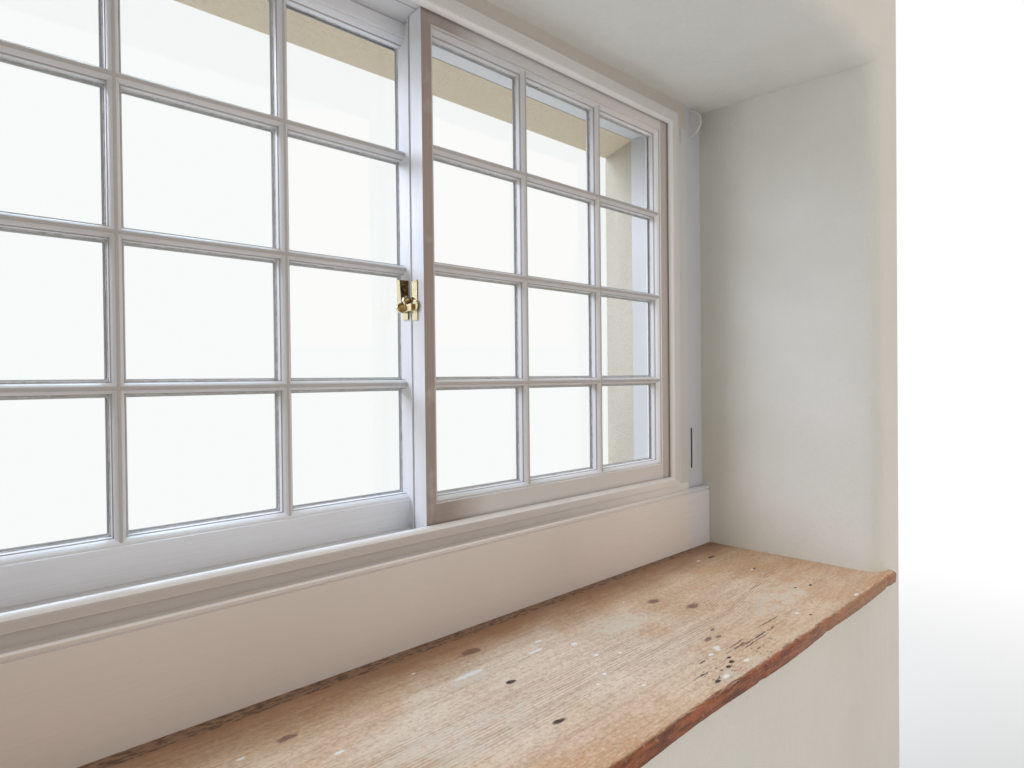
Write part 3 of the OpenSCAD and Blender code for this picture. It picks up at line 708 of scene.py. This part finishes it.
def board_section(x, wear):
    """One cut across the board, from its back over the top and round the worn front to the underside."""
    back = board_back(x) - (PLASTER_GAP if abs(x) > RECESS_HALF else 0.0)
    front = min(board_front(x), back - 0.006)
    soft = min(0.0085 + 0.003 * wobble(x, 7.0, 0.0, 0.05), 0.8 * (back - front))
    points = []
    for j in range(TOP_ROWS + 1):
        y = back + (front + soft - back) * j / TOP_ROWS
        low = 0.0004 * (1 + wobble(x, y, 0.0, 0.09)) + 0.00025 * (1 + wobble(x * 0.25, y, 5.0, 0.012))
        if y > APRON_FRONT - 0.001:
            low = 0.0
        points.append((x, y, BOARD_TOP - low * wear))
    for j in range(1, FRONT_TURNS + 1):
        angle = math.pi / 2 * j / FRONT_TURNS
        rough = 0.0008 * wobble(x * 0.5, angle * 0.02, 2.0, 0.01) * math.sin(2 * angle)
        y = front + soft * (1 - math.sin(angle)) - min(rough, 0.0)
        z = BOARD_TOP - 0.0008 - (soft * 0.75) * (1 - math.cos(angle))
        points.append((x, y, z - abs(rough)))
    points.append((x, front + 0.001 + 0.001 * abs(wobble(x, 9.0, 0.0, 0.03)), BOARD_UNDER))
    points.append((x, back, BOARD_UNDER))
    return points


def make_board(material):
    """The pine board with a worn front, shallow wear on top and a gap against the plaster."""
    count = int(round(2 * BOARD_HALF / BOARD_STEP))
    size = TOP_ROWS + 1 + FRONT_TURNS + 2
    verts, faces = [], []
    for i in range(count + 1):
        verts += board_section(-BOARD_HALF + 2 * BOARD_HALF * i / count, 1.0 if 0 < i < count else 0.0)
    for i in range(count):
        a, b = i * size, (i + 1) * size
        for j in range(size):
            k = (j + 1) % size
            faces.append((a + j, a + k, b + k, b + j))
    faces.append(tuple(range(size - 1, -1, -1)))
    faces.append(tuple(count * size + j for j in range(size)))
    board = add_mesh("worn_window_board", verts, faces, material)
    for polygon in board.data.polygons[:-2]:
        polygon.use_smooth = True
    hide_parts("window_board")


def pane_outline(left, right, low, high):
    """Points close together along the four sides of a pane, as X and Z."""
    corners = ((left, low), (right, low), (right, high), (left, high))
    points = []
    for (x0, z0), (x1, z1) in zip(corners, corners[1:] + corners[:1]):
        pieces = int(math.hypot(x1 - x0, z1 - z0) / OUTLINE_STEP)
        for i in range(pieces):
            t = i / pieces
            points.append((x0 + (x1 - x0) * t, z0 + (z1 - z0) * t))
    return points


def make_paint_edges(name, face_y, first_x, material):
    """Wavy ribbons of paint and putty round every pane, on the room side of the glass."""
    verts, faces = [], []
    glass_y = face_y + GLASS_DEPTH
    panes = [(column, row) for column in range(COLUMNS) for row in range(ROWS)]
    for column, row in panes:
        left = first_x + column * PANE_PITCH + BAR_HALF
        right = first_x + (column + 1) * PANE_PITCH - BAR_HALF
        low = LOW_ARRIS + row * ROW_PITCH + BAR_HALF
        high = LOW_ARRIS + (row + 1) * ROW_PITCH - BAR_HALF
        outline = pane_outline(left, right, low, high)
        start, total = len(verts), len(outline)
        for x, z in outline:
            slow, quick = wobble(x, glass_y, z, 0.05), wobble(x, glass_y, z, 0.012)
            reach = 0.0008 + 0.0006 * (1 + slow) + 0.0003 * quick
            from_corner = max(min(x - left, right - x), min(z - low, high - z))
            fillet = 0.0022 * max(0.0, 1 - from_corner / 0.005)
            reach = max(0.0004, reach) + fillet
            inner_x = min(max(x, left + reach), right - reach)
            inner_z = min(max(z, low + reach), high - reach)
            verts.append((x, glass_y - 0.0012, z))
            verts.append((inner_x, glass_y - 0.00035, inner_z))
            verts.append((inner_x, glass_y - 0.00002, inner_z))
            verts.append((x, glass_y - 0.00002, z))
        for i in range(total):
            a, b = start + 4 * i, start + 4 * ((i + 1) % total)
            for j in range(4):
                k = (j + 1) % 4
                faces.append((a + j, b + j, b + k, a + k))
    piece = add_mesh(name, verts, faces, material)
    for polygon in piece.data.polygons:
        polygon.use_smooth = True


def soften(node, width):
    """Rounds the sharp arrises of a carried-over node so that they catch the light."""
    weld = node.modifiers.new("weld", "WELD")
    weld.merge_threshold = 0.00001
    bevel = node.modifiers.new("arris", "BEVEL")
    bevel.width = width
    bevel.segments = 2
    bevel.limit_method = "ANGLE"
    bevel.angle_limit = math.radians(40)
    bevel.harden_normals = True
    bevel.use_clamp_overlap = True


def dress(material, *names):
    """Gives one material to nodes that are carried over."""
    for name in names:
        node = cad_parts[name]
        node.data.materials.clear()
        node.data.materials.append(material)


# Stage

def straight_looks(tree):
    """1 for what is seen directly, in metal or through glass, 0 for the light that falls on the part."""
    path = tree.nodes.new("ShaderNodeLightPath")
    seen = path.outputs["Is Camera Ray"]
    for kind in ("Is Glossy Ray", "Is Transmission Ray"):
        most = tree.nodes.new("ShaderNodeMath")
        most.operation = "MAXIMUM"
        tree.links.new(seen, most.inputs[0])
        tree.links.new(path.outputs[kind], most.inputs[1])
        seen = most.outputs[0]
    return seen


def make_floor():
    """A pale floor that turns into the white background."""
    mesh = bpy.data.meshes.new("floor")
    r = FLOOR_REACH
    mesh.from_pydata([(-r, -r, 0.0), (r, -r, 0.0), (r, r, 0.0), (-r, r, 0.0)], [], [(0, 1, 2, 3)])
    floor = bpy.data.objects.new("floor", mesh)
    bpy.context.scene.collection.objects.link(floor)
    f = Finish("pale_floor", roughness=0.8)
    f.feed(f.shader.inputs["Base Color"], FLOOR_GREY)
    far = f.tree.nodes.new("ShaderNodeVectorMath")
    far.operation = "LENGTH"
    f.feed(far.inputs[0], f.place)
    white = f.tree.nodes.new("ShaderNodeEmission")
    mixed = f.tree.nodes.new("ShaderNodeMixShader")
    f.feed(mixed.inputs[0], f.times(straight_looks(f.tree), f.ramp(far.outputs["Value"], *FLOOR_FADE)))
    f.tree.links.new(f.shader.outputs[0], mixed.inputs[1])
    f.tree.links.new(white.outputs[0], mixed.inputs[2])
    f.tree.links.new(mixed.outputs[0], f.tree.nodes["Material Output"].inputs["Surface"])
    mesh.materials.append(f.material)


def make_world():
    """A white world for the eye and the glass, and a dimmer, warmer one for the light."""
    world = bpy.data.worlds.new("studio")
    bpy.context.scene.world = world
    world.use_nodes = True
    tree = world.node_tree
    light = tree.nodes["Background"]
    light.inputs["Color"].default_value = WORLD_LIGHT
    light.inputs["Strength"].default_value = WORLD_STRENGTH
    plain = tree.nodes.new("ShaderNodeBackground")
    plain.inputs["Strength"].default_value = 1.0
    plain.inputs["Color"].default_value = (1.0, 1.0, 1.0, 1.0)
    mixed = tree.nodes.new("ShaderNodeMixShader")
    tree.links.new(straight_looks(tree), mixed.inputs[0])
    tree.links.new(light.outputs[0], mixed.inputs[1])
    tree.links.new(plain.outputs[0], mixed.inputs[2])
    tree.links.new(mixed.outputs[0], tree.nodes["World Output"].inputs["Surface"])


def add_lamp(name, place, target, size, power, colour):
    """A soft rectangular lamp that the camera doesn't see."""
    data = bpy.data.lights.new(name, "AREA")
    data.shape = "RECTANGLE"
    data.size, data.size_y = size
    data.energy = power
    data.color = colour
    lamp = bpy.data.objects.new(name, data)
    lamp.location = place
    lamp.rotation_euler = (Vector(target) - Vector(place)).to_track_quat("-Z", "Y").to_euler()
    lamp.visible_camera = False
    bpy.context.scene.collection.objects.link(lamp)


def dress_joinery():
    """White paint, each piece with its wear and with the painted light and shade of its place."""
    dress(white_paint("white_gloss_upright", "z"),
          "left_side_stile", "blind_bracket_left", "blind_bracket_right")
    # room face in painted shade, rounded nose with a painted highlight
    dress(white_paint("white_gloss_stile", "z", face=(0.60, 0.535, 0.51), crest=CREST_HIGHLIGHT), "right_side_stile")
    # paler, bluer bases for the outer sash: painted daylight, which falls more on it
    dress(white_paint("white_gloss_reach_lit", "z", base=(0.77, 0.785, 0.81), feet=False), "left_meeting_stile")
    # painted shade on the face toward the room, with some handling grime
    dress(white_paint("white_gloss_meeting_shaded", "z", base=(0.80, 0.815, 0.84), face=SHADE_AND_HANDLING, feet=False),
          "right_meeting_stile")
    dress(white_paint("white_gloss_outer_lit", "x", base=(0.84, 0.865, 0.915), waves=0.5),
          "left_top_rail", "left_bottom_rail")
    # painted shade on the room face near the middle, with some handling grime, and painted light toward the
    # right reveal
    dress(white_paint("white_gloss_inner", "x", face=SHADE_AND_HANDLING, spread=(0.010, 0.120, 0.12),
                      far=(0.86, 0.825, 0.825), waves=0.5),
          "right_top_rail", "right_bottom_rail")
    dress(white_paint("white_gloss_bars", "both", flakes=CHIPS, nose=0.55), "left_bars", "right_bars")
    # room faces in painted shade, paler toward the right reveal in painted light; the bead's nose has a
    # painted highlight
    dress(white_paint("white_gloss_sill", "x", face=(0.56, 0.53, 0.525), spread=(0.05, 0.60, 0.0),
                      far=LIT_NEAR_REVEAL, outer_grey=0.6, waves=0.4),
          "frame_sill")
    dress(white_paint("white_gloss_sill_bead", "x", face=(0.57, 0.54, 0.535), spread=(0.05, 0.60, 0.0),
                      crest=CREST_HIGHLIGHT, far=LIT_NEAR_REVEAL, waves=0.4),
          "bead_sill")
    # the rounded edges of the beads carry a painted highlight
    dress(white_paint("white_gloss_bead_level", "x", base=(0.78, 0.76, 0.765), crest=CREST_HIGHLIGHT, waves=0.5),
          "bead_head")
    dress(white_paint("white_gloss_bead_upright", "z", base=(0.79, 0.77, 0.775), crest=CREST_HIGHLIGHT),
          "bead_left", "bead_right")
    dress(white_paint("white_gloss_strip", "z", base=(0.69, 0.71, 0.77), slot=CORD_SLOT),
          "strip_left", "strip_right")
    # painted highlight on the bead, painted light toward the right reveal and a cooler painted light at the
    # end
    dress(white_paint("white_gloss_apron", "x", base=(0.765, 0.72, 0.70), crest=CREST_HIGHLIGHT, far=LIT_NEAR_REVEAL,
                      end=(0.86, 0.865, 0.95), waves=0.35),
          "apron_board")
    # room face in painted shade
    dress(white_paint("white_gloss_head", "x", face=(0.66, 0.60, 0.555), waves=0.5), "frame_head")
    dress(white_paint("white_gloss_jamb", "z", outer_grey=0.75), "frame_jamb_left", "frame_jamb_right")


def dress_wall_and_fittings():
    """Plaster, roughcast, stone, rubble, brass and glass."""
    dress(plaster("chalky_plaster"), "plaster_below", "plaster_left", "plaster_right", "plaster_head")
    dress(outside_render(), "render_below", "render_left", "render_right", "render_head")
    dress(sill_stone(), "stone_sill")
    dress(rubble(), "wall_below", "wall_left", "wall_right", "wall_head")
    dress(brass(), "catch_plate", "catch_keeper", "catch_screw", "catch_finger")
    dress(pane(), "left_glass", "right_glass")


place_camera()
make_floor()
make_world()
for lamp in LAMPS:
    add_lamp(*lamp)
dress_joinery()
dress_wall_and_fittings()
for member in ("meeting_stile", "side_stile", "top_rail", "bottom_rail"):
    soften(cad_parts["left_" + member], SASH_ARRIS)
    soften(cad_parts["right_" + member], SASH_ARRIS)
for member in ("apron_board", "bead_sill", "bead_head", "bead_left", "bead_right"):
    soften(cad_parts[member], TRIM_ARRIS)

make_board(pine())
edge_paint = paint_edge()
make_paint_edges("left_paint_edges", FACE_Y + TRACK_PITCH, -MEETING_STEP - COLUMNS * PANE_PITCH, edge_paint)
make_paint_edges("right_paint_edges", FACE_Y, MEETING_STEP, edge_paint)

bpy.context.scene.view_settings.view_transform = "Standard"
